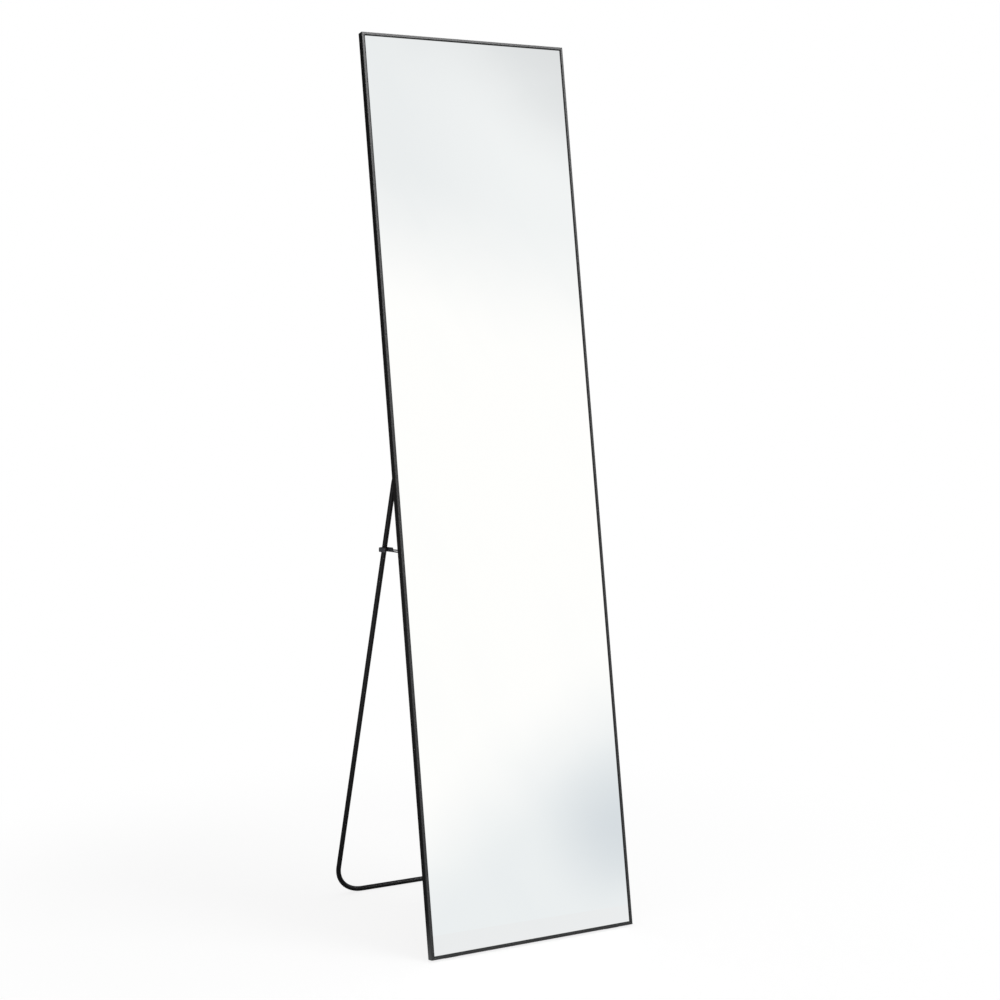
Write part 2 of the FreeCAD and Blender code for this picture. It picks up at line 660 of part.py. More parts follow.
def main():
    os.makedirs("parts", exist_ok=True)
    for name, shape in sorted(standing_nodes().items()):
        solids = shape.Solids
        print("%-26s %2d solids  %10.1f mm3  valid %s" % (name, len(solids), shape.Volume, shape.isValid()))
        whole = solids[0] if len(solids) == 1 else Part.makeCompound(solids)
        whole.exportStep("parts/%s.step" % name)
    print("leans back %.3f degrees" % LEAN)


if __name__ == "__main__":
    main()
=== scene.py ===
"""Dresses the leaning floor mirror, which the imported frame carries, for its picture.

Metres throughout.  The frame's rails, the glass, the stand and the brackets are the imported
model's own nodes and get finishes here.  Screws, bolts, nuts and the moulded sleeves of the
stays are made again with their rounded shapes and take the places of their nodes.
"""
import enum
import functools
import json
import logging
import math
from collections.abc import Callable, Mapping, Sequence
from dataclasses import dataclass, field
from typing import Any, Protocol, Union

import bmesh
import bpy
import numpy as np
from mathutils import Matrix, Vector


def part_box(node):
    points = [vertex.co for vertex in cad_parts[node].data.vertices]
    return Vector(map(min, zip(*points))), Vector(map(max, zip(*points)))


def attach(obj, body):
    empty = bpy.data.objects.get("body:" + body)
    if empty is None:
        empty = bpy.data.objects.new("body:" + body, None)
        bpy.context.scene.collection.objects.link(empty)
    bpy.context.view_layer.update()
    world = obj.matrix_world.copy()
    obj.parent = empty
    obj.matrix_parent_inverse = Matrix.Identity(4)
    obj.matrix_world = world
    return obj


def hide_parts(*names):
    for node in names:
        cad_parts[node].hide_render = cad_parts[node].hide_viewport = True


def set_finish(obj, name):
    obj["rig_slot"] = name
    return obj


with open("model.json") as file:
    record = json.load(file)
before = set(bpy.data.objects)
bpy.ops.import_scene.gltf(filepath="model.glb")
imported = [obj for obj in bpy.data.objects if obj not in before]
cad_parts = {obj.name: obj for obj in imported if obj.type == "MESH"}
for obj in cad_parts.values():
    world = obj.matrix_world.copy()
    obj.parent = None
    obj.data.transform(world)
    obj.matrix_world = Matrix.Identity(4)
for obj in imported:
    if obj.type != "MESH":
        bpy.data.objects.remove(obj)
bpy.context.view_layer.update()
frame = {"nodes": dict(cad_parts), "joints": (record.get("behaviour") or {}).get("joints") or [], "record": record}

LOG = logging.getLogger("floor_mirror")
MM = 0.001
X_AXIS, Y_AXIS, Z_AXIS = np.eye(3)
WHITE = (1.0, 1.0, 1.0)
MERGE_WITHIN = 1e-7
SHARP_ANGLE = math.radians(40)

Triple = tuple[float, float, float]
Colour = Triple
Span = tuple[float, float]
Socket = bpy.types.NodeSocket


# Where things are ---------------------------------------------------------------------


class Side(enum.Enum):
    """The two sides of the mirror, with the sign of their X."""

    LEFT = -1
    RIGHT = 1

    @property
    def word(self) -> str:
        """The side's part of a node's name."""
        return self.name.lower()


@dataclass(frozen=True)
class Lean:
    """The leaned mirror's own directions and the middle of its rear bottom edge.

    A place on it is given as X, the way up along the mirror, and the way behind its back."""

    width: float = 380 * MM
    height: float = 1500 * MM
    depth: float = 13.4 * MM
    lip: float = 5.0 * MM
    lip_bevel: float = 1.3 * MM
    hinge_height: float = 793 * MM
    hinge_behind: float = 8 * MM
    hinge_x: float = 176.3 * MM

    @property
    def back(self) -> np.ndarray:
        """The direction out of the mirror's back, which the wall hangers' record gives."""
        mounts = {mount["name"]: mount for mount in frame["record"]["mounts"]}
        return np.array(mounts["wall_keyhole_left"]["axis"], float)

    @property
    def up(self) -> np.ndarray:
        """The direction up along the mirror, at right angles to its back and to X."""
        _, back_y, back_z = self.back
        return np.array([0.0, -back_z, back_y])

    @property
    def origin(self) -> np.ndarray:
        """The middle of the rear bottom edge, measured down from the stand's hinge."""
        hinge = np.array(joint_place("stand_fold"))
        return hinge - self.hinge_height * self.up - self.hinge_behind * self.back

    def at(self, x: float, up: float, behind: float) -> np.ndarray:
        """The place at an X, a way up from the bottom edge and a way behind the rear face."""
        return self.origin + x * X_AXIS + up * self.up + behind * self.back

    def pivot(self, side: Side) -> np.ndarray:
        """The place on the hinge's axis at the middle of one leg of the stand."""
        return self.at(side.value * self.hinge_x, self.hinge_height, self.hinge_behind)

    def from_edges(self, graph: "Graph", place: Socket) -> tuple["Term", "Term"]:
        """How far a place lies from the frame's nearer side and from its nearer end."""
        up = graph.along(place, self.up) - float(self.origin @ self.up)
        return self.width / 2 - abs(graph.along(place, X_AXIS)), up.least(self.height - up)


def joint_place(name: str) -> list[float]:
    """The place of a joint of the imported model, by its name."""
    return {joint["name"]: joint["pos_m"] for joint in frame["joints"]}[name]


# Pieces from numpy grids --------------------------------------------------------------


@dataclass
class Axes:
    """A place and three directions at right angles, in which a small piece is worked out."""

    origin: np.ndarray
    across: np.ndarray
    along: np.ndarray
    outward: np.ndarray

    def place(self, local: np.ndarray) -> np.ndarray:
        """Points given along the three directions, in the row's frame."""
        return self.origin + local @ np.stack([self.across, self.along, self.outward])


def grid_faces(rows: int, columns: int) -> np.ndarray:
    """Corner numbers of the quads between the points of a grid whose rows are rings.

    Quad (i, j) joins points (i, j), (i, j + 1), (i + 1, j + 1) and (i + 1, j), and the last
    column meets the first.

    Args:
        rows: Number of rings.
        columns: Number of points on each ring.

    Returns:
        One row of four corner numbers for each quad.
    """
    row, column = np.meshgrid(np.arange(rows - 1), np.arange(columns), indexing="ij")
    following = (column + 1) % columns
    corners = [row * columns + column, row * columns + following,
               (row + 1) * columns + following, (row + 1) * columns + column]
    return np.stack(corners, axis=-1).reshape(-1, 4)


def add_object(name: str, data: bpy.types.ID) -> bpy.types.Object:
    """A new object in the scene.

    Args:
        name: The object's name.
        data: Its mesh, light or camera.

    Returns:
        The object.
    """
    made = bpy.data.objects.new(name, data)
    bpy.context.scene.collection.objects.link(made)
    return made


def make_piece(name: str, grids: Sequence[np.ndarray], finish: str, body: str,
               stands_for: str) -> bpy.types.Object:
    """A closed piece from grids of rings, smooth except at sharp edges.

    The poles and the ends of each grid are merged, and the normals turned outwards.

    Args:
        name: The piece's name.
        grids: Grids of points, each of rows x columns x 3.
        finish: The record's material slot that the piece takes.
        body: The body that it rides on.
        stands_for: The node that it replaces.

    Returns:
        The new object, with its finish still to come.
    """
    points, faces, start = [], [], 0
    for grid in grids:
        rows, columns, _ = grid.shape
        points.append(grid.reshape(-1, 3))
        faces.append(grid_faces(rows, columns) + start)
        start += rows * columns
    mesh = bpy.data.meshes.new(name)
    mesh.from_pydata(np.concatenate(points).tolist(), [], np.concatenate(faces).tolist())
    form = bmesh.new()
    form.from_mesh(mesh)
    bmesh.ops.remove_doubles(form, verts=form.verts, dist=MERGE_WITHIN)
    bmesh.ops.recalc_face_normals(form, faces=form.faces)
    form.to_mesh(mesh)
    form.free()
    mesh.shade_smooth()
    mesh.set_sharp_from_angle(angle=SHARP_ANGLE)
    piece = add_object(name, mesh)
    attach(piece, body)
    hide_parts(stands_for)
    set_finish(piece, finish)
    LOG.info("%s: %d faces on %s, for %s", name, len(mesh.polygons), body, stands_for)
    return piece


def soft_step(low: float, high: float, value: np.ndarray) -> np.ndarray:
    """0 below low and 1 above high, with the curve 3t^2 - 2t^3 between them."""
    t = np.clip((value - low) / (high - low), 0.0, 1.0)
    return t * t * (3 - 2 * t)


def round_angles(columns: int) -> np.ndarray:
    """Even angles once round, one for each column: 2 pi j / columns."""
    return np.arange(columns) * 2 * math.pi / columns


def crown_shares(rows: int) -> np.ndarray:
    """Shares of a head's radius, closer together at the rim: (i / (rows - 1))^0.8."""
    return np.linspace(0.0, 1.0, rows) ** 0.8


def turned(profile: np.ndarray, columns: int,
           sink: Callable[[np.ndarray, np.ndarray], np.ndarray]) -> np.ndarray:
    """A profile turned round the outward direction, with a hollow pressed into it.

    Point (i, j) is at angle a = 2 pi j / columns, on r = profile radius i, and its height is
    the profile's height, less the hollow's depth at (r cos a, r sin a) where it is above 0.

    Args:
        profile: Rows of radius and height.
        columns: Points round each ring.
        sink: Gives the hollow's depth from grids of across and along.

    Returns:
        A grid of points along across, along and outward.
    """
    angle = round_angles(columns)
    radius, height = profile[:, :1], profile[:, 1:]
    across, along = radius * np.cos(angle), radius * np.sin(angle)
    depth = np.where(height > 0, sink(across, along), 0.0)
    return np.stack([across, along, height - depth], axis=-1)


# Screws, bolts and nuts ---------------------------------------------------------------


@dataclass
class PanScrews:
    """One row of screws with pan heads and cross recesses, for a node of screws."""

    node: str
    lean: Lean
    levels: Sequence[float]
    sheet: float
    head_radius: float = 3.3 * MM
    head_height: float = 1.7 * MM
    edge_height: float = 0.8 * MM
    shank_radius: float = 2.0 * MM
    shank_length: float = 3.9 * MM
    recess_reach: float = 1.9 * MM
    recess_half_width: float = 0.42 * MM
    recess_edge: float = 0.12 * MM
    recess_depth: float = 1.15 * MM
    first_turn: float = 0.35
    turn_step: float = 1.1
    crown_rows: int = 30
    columns: int = 72

    def recess(self, across: np.ndarray, along: np.ndarray) -> np.ndarray:
        """The depth of the cross at each point of the head.

        An arm is where the nearer of the two middle lines is less than the arm's half width
        away.  Its depth is D (1 - (r / R)^2)^(1/2), with r the distance from the middle, R the
        reach and D the depth in the middle.

        Args:
            across: Places across the head.
            along: Places along the head.

        Returns:
            How far each point sinks.
        """
        near = np.minimum(np.abs(across), np.abs(along))
        far = np.hypot(across, along)
        inside = 1 - soft_step(self.recess_half_width, self.recess_half_width + self.recess_edge, near)
        floor = np.clip(1 - (far / self.recess_reach) ** 2, 0.0, 1.0)
        return self.recess_depth * inside * np.sqrt(floor)

    def profile(self) -> np.ndarray:
        """Radius and height from the middle of the head, over its rim and down the shank.

        The crown is height = edge + (head - edge) (1 - (r / R)^4)^(1/2).

        Returns:
            Rows of radius and height.
        """
        radius = crown_shares(self.crown_rows)
        crown = self.edge_height + (self.head_height - self.edge_height) * np.sqrt(1 - radius ** 4)
        head = np.stack([radius * self.head_radius, crown], axis=1)
        rest = [(self.head_radius, 0.0), (self.shank_radius, 0.0),
                (self.shank_radius, -self.shank_length - self.sheet), (0.0, -self.shank_length - self.sheet)]
        return np.concatenate([head, np.array(rest)])

    def build(self) -> bpy.types.Object:
        """One piece with every screw of the row, each turned to an angle of its own.

        Returns:
            The new piece.
        """
        grid = turned(self.profile(), self.columns, self.recess)
        places = [(side.value * self.lean.hinge_x, level) for side in Side for level in self.levels]
        screws = []
        for count, (x, level) in enumerate(places):
            turn = self.first_turn + self.turn_step * count
            across = math.cos(turn) * X_AXIS + math.sin(turn) * self.lean.up
            along = math.cos(turn) * self.lean.up - math.sin(turn) * X_AXIS
            seat = self.lean.at(x, level, self.sheet)
            screws.append(Axes(seat, across, along, self.lean.back).place(grid))
        return make_piece("pan_" + self.node, screws, "zinc_screws", "mirror", self.node)


@dataclass
class PivotBolt:
    """A button-head bolt through the hinge's ears, with a six-sided socket."""

    side: Side
    lean: Lean
    seat: float = 4.1 * MM
    head_radius: float = 4.6 * MM
    head_height: float = 2.8 * MM
    edge_height: float = 0.35 * MM
    socket_flats: float = 3.0 * MM
    socket_edge: float = 0.12 * MM
    socket_depth: float = 1.5 * MM
    shank_radius: float = 2.5 * MM
    tip: float = 9.7 * MM
    thread_pitch: float = 0.8 * MM
    thread_depth: float = 0.22 * MM
    crown_rows: int = 36
    shaft_rows: int = 150
    columns: int = 96

    def socket(self, across: np.ndarray, along: np.ndarray) -> np.ndarray:
        """The depth of the socket, a hexagon: the largest of the distances from the middle
        along its three pairs of flats is under half the width across them.

        Args:
            across: Places across the head.
            along: Places along the head.

        Returns:
            How far each point sinks.
        """
        turns = np.radians([0.0, 60.0, 120.0])[:, None, None]
        reach = np.abs(across * np.cos(turns) + along * np.sin(turns)).max(axis=0)
        edge = self.socket_flats / 2
        return self.socket_depth * (1 - soft_step(edge, edge + self.socket_edge, reach))

    def profile(self) -> np.ndarray:
        """Radius and height from the middle of the head to the tip of the thread.

        The head is part of a ball: height = edge + (head - edge) (1 - (r / R)^2)^(1/2).  The
        thread's radius swings by its depth with the cosine of the way along the shank.

        Returns:
            Rows of radius and height.
        """
        share = crown_shares(self.crown_rows)
        crown = self.edge_height + (self.head_height - self.edge_height) * np.sqrt(1 - share ** 2)
        head = np.stack([share * self.head_radius, crown], axis=1)
        way = np.linspace(0.0, self.seat + self.tip, self.shaft_rows)
        ridge = 0.5 - 0.5 * np.cos(2 * math.pi * way / self.thread_pitch)
        threaded = way > 2 * self.seat
        shank = self.shank_radius - self.thread_depth * ridge * threaded
        shaft = np.stack([shank, -way], axis=1)
        tip = np.array([[self.shank_radius - 2 * self.thread_depth, shaft[-1, 1] - self.thread_depth],
                        [0.0, shaft[-1, 1] - self.thread_depth]])
        return np.concatenate([head, np.array([[self.head_radius, 0.0]]), shaft, tip])

    def build(self) -> bpy.types.Object:
        """The bolt in its place, with its head on the outer side.

        Returns:
            The new piece.
        """
        outward = self.side.value * X_AXIS
        seat = self.lean.pivot(self.side) + self.seat * outward
        place = Axes(seat, self.lean.up, self.lean.back, outward)
        grid = place.place(turned(self.profile(), self.columns, self.socket))
        node = "pivot_bolt_" + self.side.word
        return make_piece("button_bolt_" + self.side.word, [grid], "bolt_steel", "mirror", node)


@dataclass
class LockNut:
    """A six-sided lock nut with chamfered corners and a round collar.

    The collar's steps are shares of its radius and of its height, from its foot to its rim."""

    side: Side
    lean: Lean
    seat: float = 4.1 * MM
    flats: float = 8.0 * MM
    height: float = 3.6 * MM
    collar_radius: float = 3.6 * MM
    collar_height: float = 1.2 * MM
    collar_steps: tuple[Span, ...] = ((1.0, 0.0), (1.0, 0.6), (0.94, 0.9), (0.85, 1.0))
    bore_radius: float = 2.55 * MM
    chamfer: float = 0.5 * MM
    chamfer_bend: float = 0.15 * MM
    corner_cut: float = 0.15 * MM
    columns: int = 96

    def hexagon(self) -> np.ndarray:
        """The radius at each angle: half the flats over the cosine of the angle from a flat."""
        from_flat = (round_angles(self.columns) + math.pi / 6) % (math.pi / 3) - math.pi / 6
        return self.flats / 2 / np.cos(from_flat)

    def build(self) -> bpy.types.Object:
        """The nut in its place, on the inner side of the bracket.

        Each ring has a height and a radius, the smaller of the hexagon's and of a cone's
        that cuts the corners at both ends.

        Returns:
            The new piece.
        """
        angle, full = round_angles(self.columns), self.hexagon()
        corner = np.minimum(full, self.flats / 2 + self.corner_cut)
        flank = [(self.flats / 2, 0.0), (corner, self.chamfer_bend), (full, self.chamfer),
                 (full, self.height - self.chamfer), (corner, self.height - self.chamfer_bend),
                 (self.flats / 2, self.height)]
        collar = [(self.collar_radius * wide, self.height + self.collar_height * high)
                  for wide, high in self.collar_steps]
        bore = [(self.bore_radius, self.height + self.collar_height), (self.bore_radius, 0.0)]
        rings = bore[1:] + flank + collar + bore
        radius = np.stack([np.broadcast_to(ring, angle.shape) for ring, _ in rings])
        height = np.broadcast_to(np.array([[level] for _, level in rings]), radius.shape)
        grid = np.stack([radius * np.cos(angle), radius * np.sin(angle), height], axis=-1)
        inward = -self.side.value * X_AXIS
        seat = self.lean.pivot(self.side) + self.seat * inward
        place = Axes(seat, self.lean.up, self.lean.back, inward)
        node = "pivot_nut_" + self.side.word
        return make_piece("lock_nut_" + self.side.word, [place.place(grid)], "bolt_steel", "mirror", node)


# Sleeves of the stays -----------------------------------------------------------------


@dataclass
class StaySleeve:
    """The moulded loop round a leg of the stand, with rounded edges and a parting line."""

    side: Side
    lean: Lean
    inner_radius: float = 5.0 * MM
    wall: float = 3.4 * MM
    height: float = 7.5 * MM
    squareness: float = 4.5
    seam_height: float = 0.12 * MM
    seam_reach: float = 0.16
    end_share: float = 0.025
    along_rows: int = 140
    around: int = 56

    def path(self, arm: float) -> tuple[np.ndarray, np.ndarray]:
        """The middle line of the wall, up one arm, round the end and down the other.

        It has arms on u = -r and u = +r, and the half circle u = -r cos t, v = r sin t
        between them, with r the middle radius.

        Args:
            arm: The length of each arm.

        Returns:
            Points along across and along, and the outward normal at each.
        """
        radius = self.inner_radius + self.wall / 2
        way = np.linspace(0.0, 2 * arm + math.pi * radius, self.along_rows)
        turn = np.clip((way - arm) / radius, 0.0, math.pi)
        before = np.minimum(way - arm, 0.0)
        after = np.maximum(way - arm - math.pi * radius, 0.0)
        middle = np.stack([-radius * np.cos(turn), radius * np.sin(turn) + before - after], axis=1)
        normal = np.stack([-np.cos(turn), np.sin(turn)], axis=1)
        return middle, normal

    def section(self) -> np.ndarray:
        """The wall's section, |a|^n + |b|^n = 1, with a low ridge along the middle of both
        faces, where the two halves of the mould met.

        Returns:
            Rows of offsets through the wall and up it.
        """
        angle = round_angles(self.around)
        power = 2 / self.squareness
        through = np.sign(np.cos(angle)) * np.abs(np.cos(angle)) ** power
        up = np.sign(np.sin(angle)) * np.abs(np.sin(angle)) ** power
        ridge = self.seam_height * np.exp(-(up / self.seam_reach) ** 2) * np.sign(through)
        return np.stack([through * self.wall / 2 + ridge, up * self.height / 2], axis=1)

    def end_scale(self) -> np.ndarray:
        """The section's size along the way: 1, and over the last of each arm the quarter
        circle (1 - (1 - t)^2)^(1/2) from 0.

        Returns:
            The size at each ring.
        """
        share = np.linspace(0.0, 1.0, self.along_rows)
        from_end = np.minimum(share, 1 - share) / self.end_share
        return np.sqrt(1 - (1 - np.clip(from_end, 0.0, 1.0)) ** 2)

    def build(self) -> bpy.types.Object:
        """The sleeve in its place, at the loop's end round the leg.

        Its ring k is: middle line k + scale k (through normal k + up outward).

        Returns:
            The new piece.
        """
        node = "stay_sleeve_" + self.side.word
        low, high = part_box(node)
        stay = np.array(joint_place("stay_%s_drop" % self.side.word))
        tilt = math.atan2((low.z + high.z) / 2 - stay[2], (low.y + high.y) / 2 - stay[1])
        along = math.cos(tilt) * Y_AXIS + math.sin(tilt) * Z_AXIS
        outward = math.cos(tilt) * Z_AXIS - math.sin(tilt) * Y_AXIS
        slant = self.height / 2 * abs(math.sin(tilt))
        tail, tip = ((edge - stay[1]) / math.cos(tilt) for edge in (low.y + slant, high.y - slant))
        reach = tip - self.inner_radius - self.wall
        middle, normal = self.path(reach - tail)
        section, scale = self.section(), self.end_scale()[:, None, None]
        flat = middle[:, None, :] + scale * section[None, :, :1] * normal[:, None, :]
        rise = np.broadcast_to(scale * section[None, :, 1:], flat.shape[:2] + (1,))
        grid = np.concatenate([flat, rise], axis=-1)
        place = Axes(stay + reach * along, X_AXIS, along, outward)
        return make_piece("moulded_sleeve_" + self.side.word, [place.place(grid)], "stay_sleeve",
                          "stay_" + self.side.word, node)


# Shader terms -------------------------------------------------------------------------


Number = Union["Term", float]


def math_method(operation: str, swapped: bool = False) -> Callable[..., "Term"]:
    """A method of Term that works out one Math operation on itself and what it is given.

    Args:
        operation: The Math node's operation.
        swapped: Whether the Term comes last, as in other - self.

    Returns:
        The method.
    """
    def method(self: "Term", *others: Number) -> "Term":
        """Adds the Math node to the Term's own tree."""
        return self.graph.maths(operation, *((*others, self) if swapped else (self, *others)))

    return method


class Term:
    """One number that changes over a surface, with the usual arithmetic."""

    def __init__(self, graph: "Graph", socket: Socket) -> None:
        """Wraps a node's output socket in the tree it belongs to."""
        self.graph = graph
        self.socket = socket

    __add__ = __radd__ = math_method("ADD")
    __sub__ = math_method("SUBTRACT")
    __rsub__ = math_method("SUBTRACT", swapped=True)
    __mul__ = __rmul__ = math_method("MULTIPLY")
    __pow__ = math_method("POWER")
    __abs__ = math_method("ABSOLUTE")
    least = math_method("MINIMUM")
    greatest = math_method("MAXIMUM")

    def rise(self, low: float, high: float) -> "Term":
        """0 below low and 1 above high, smooth between them."""
        inputs = {"Value": self, "From Min": low, "From Max": high}
        return self.graph.term("ShaderNodeMapRange", "Result", inputs, interpolation_type="SMOOTHSTEP")


class Graph:
    """The node tree of one material or of the world, and the ways to add to it."""

    def __init__(self, tree: bpy.types.NodeTree) -> None:
        """Starts on an empty tree."""
        tree.nodes.clear()
        self.tree = tree

    def node(self, kind: str, inputs: Mapping[Any, Any] | None = None, **settings: Any) -> bpy.types.Node:
        """Adds a node, sets its settings and then its sockets.

        Args:
            kind: The node's type.
            inputs: Values, Terms or sockets by the input's name or number.
            settings: Its settings by name.

        Returns:
            The node.
        """
        made = self.tree.nodes.new(kind)
        for name, value in settings.items():
            setattr(made, name, value)
        for name, value in (inputs or {}).items():
            self._feed(made.inputs[name], value)
        return made

    def _feed(self, socket: Socket, value: Any) -> None:
        """Links a socket, or sets its plain value.

        Args:
            socket: The input to feed.
            value: A Term, an output socket, or a value.
        """
        if isinstance(value, Term):
            value = value.socket
        if isinstance(value, Socket):
            self.tree.links.new(value, socket)
        elif socket.type == "RGBA" and len(value) == 3:
            socket.default_value = (*value, 1.0)
        else:
            socket.default_value = value

    def term(self, kind: str, output: int | str, inputs: Mapping[Any, Any], **settings: Any) -> Term:
        """One output of a new node, as a Term."""
        return Term(self, self.node(kind, inputs, **settings).outputs[output])

    def maths(self, operation: str, *values: Number) -> Term:
        """A Math node with its operation and its values."""
        return self.term("ShaderNodeMath", 0, dict(enumerate(values)), operation=operation)

    def position(self) -> Socket:
        """The Object coordinates, which are metres in the row's frame."""
        return self.node("ShaderNodeTexCoord").outputs["Object"]

    def along(self, position: Socket, direction: Sequence[float]) -> Term:
        """How far a position lies along a direction."""
        inputs = {0: position, 1: tuple(direction)}
        return self.term("ShaderNodeVectorMath", "Value", inputs, operation="DOT_PRODUCT")

    def stretched(self, position: Socket, turn: Triple, scale: Triple) -> Socket:
        """A position turned by three angles and then scaled, for a pattern with a grain."""
        turned_way = self.node("ShaderNodeMapping", {"Vector": position, "Rotation": turn}).outputs[0]
        return self.node("ShaderNodeMapping", {"Vector": turned_way, "Scale": scale}).outputs[0]

    def noise(self, position: Socket, scale: float, detail: float = 3.0, roughness: float = 0.5) -> Term:
        """Smooth noise between 0 and 1, with features of 1 / scale metres."""
        inputs = {"Vector": position, "Scale": scale, "Detail": detail, "Roughness": roughness}
        return self.term("ShaderNodeTexNoise", "Fac", inputs)

    def cells(self, position: Socket, scale: float) -> Term:
        """Distance from the nearest of scattered points, which lie 1 / scale metres apart."""
        return self.term("ShaderNodeTexVoronoi", "Distance", {"Vector": position, "Scale": scale})

    def blend(self, share: Number, first: Any, second: Any) -> Socket:
        """A colour between two colours: the first where share is 0, the second where 1."""
        return self.node("ShaderNodeMix", {0: share, 6: first, 7: second}, data_type="RGBA").outputs[2]

    def bump(self, height: Term, depth: float) -> Socket:
        """A normal from a height between 0 and 1 that stands for a depth in metres."""
        return self.node("ShaderNodeBump", {"Height": height, "Distance": depth}).outputs["Normal"]

    def mix(self, share: Term, first: bpy.types.Node, second: bpy.types.Node, output: str) -> None:
        """Mixes two shaders by a share and feeds them to an output node."""
        mixed = self.node("ShaderNodeMixShader", {0: share, 1: first.outputs[0], 2: second.outputs[0]})
        self.node(output, {"Surface": mixed.outputs[0]})

    def surface(self, **inputs: Any) -> None:
        """The Principled shader and the output.

        Args:
            inputs: Values, Terms or sockets by the input's name in lower case words.
        """
        named = {name.replace("_", " ").title().replace("Ior", "IOR"): value
                 for name, value in inputs.items()}
        shader = self.node("ShaderNodeBsdfPrincipled", named)
        self.node("ShaderNodeOutputMaterial", {"Surface": shader.outputs[0]})


def seen_by(graph: Graph) -> tuple[Term, Term]:
    """Which rays look: those of the camera, and those of a gloss or a glass.

    Args:
        graph: The node tree that asks.

    Returns:
        Two masks, both 0 for the light's own rays.
    """
    path = graph.node("ShaderNodeLightPath")
    camera, glossy, through = (Term(graph, path.outputs[name]) for name in
                               ("Is Camera Ray", "Is Glossy Ray", "Is Transmission Ray"))
    return camera, glossy.greatest(through)


# Finishes -----------------------------------------------------------------------------


class Finish(Protocol):
    """Anything that can fill the node tree of a material."""

    def paint(self, graph: Graph) -> None:
        """Adds the nodes of the finish to an empty tree."""


def new_material(name: str, finish: Finish) -> bpy.types.Material:
    """A material with its finish painted.

    Args:
        name: The material's name.
        finish: What fills its node tree.

    Returns:
        The material.
    """
    material = bpy.data.materials.new(name)
    material.use_nodes = True
    finish.paint(Graph(material.node_tree))
    LOG.info("material %s from %s", name, type(finish).__name__)
    return material


@dataclass(frozen=True)
class Silvering:
    """The mirror: silver that is nearly perfect, with faint cloudy traces of wiping, and a painted
    dark line at its border: painted shade and a painted reflection of the lip, as if mirrored from behind the
    glass."""

    lean: Lean = Lean()
    tint: Colour = (0.997, 0.997, 0.982)
    clouded: Colour = (0.985, 0.988, 0.975)
    # colour of the painted shade and painted lip reflection along the border
    painted_lip_reflection: Colour = (0.004, 0.004, 0.004)
    painted_reflection_width: float = 0.95 * MM
    painted_reflection_fade: float = 0.4 * MM
    roughness: float = 0.004
    smear_roughness: float = 0.012
    smear_scale: float = 60.0
    wipe_turn: Triple = (0.0, 0.5, 0.0)
    wipe_stretch: Triple = (1.0, 1.0, 0.22)
    wipe_scale: float = 9.0
    wipe_span: Span = (0.45, 0.75)

    def paint(self, graph: Graph) -> None:
        """Long soft wipes across the glass change the tint and the gloss a little.

        The painted dark line is where the frame's nearer edge is less than the lip's and the
        line's widths away; it stands for shade and for the lip's reflection behind the glass.

        Args:
            graph: The finish's node tree.
        """
        place = graph.position()
        side, end = self.lean.from_edges(graph, place)
        edge = self.lean.lip + self.painted_reflection_width
        inside = side.least(end).rise(edge - self.painted_reflection_fade, edge)
        wiped = graph.stretched(place, self.wipe_turn, self.wipe_stretch)
        trace = graph.noise(wiped, self.wipe_scale, detail=4.0).rise(*self.wipe_span)
        # painted shade and reflection: the glass turns near black in a thin line beside the lip
        tint = graph.blend(inside, self.painted_lip_reflection, graph.blend(trace, self.tint, self.clouded))
        smear = self.smear_roughness * trace * graph.noise(place, self.smear_scale)
        graph.surface(base_color=tint, metallic=1.0, roughness=self.roughness + smear)


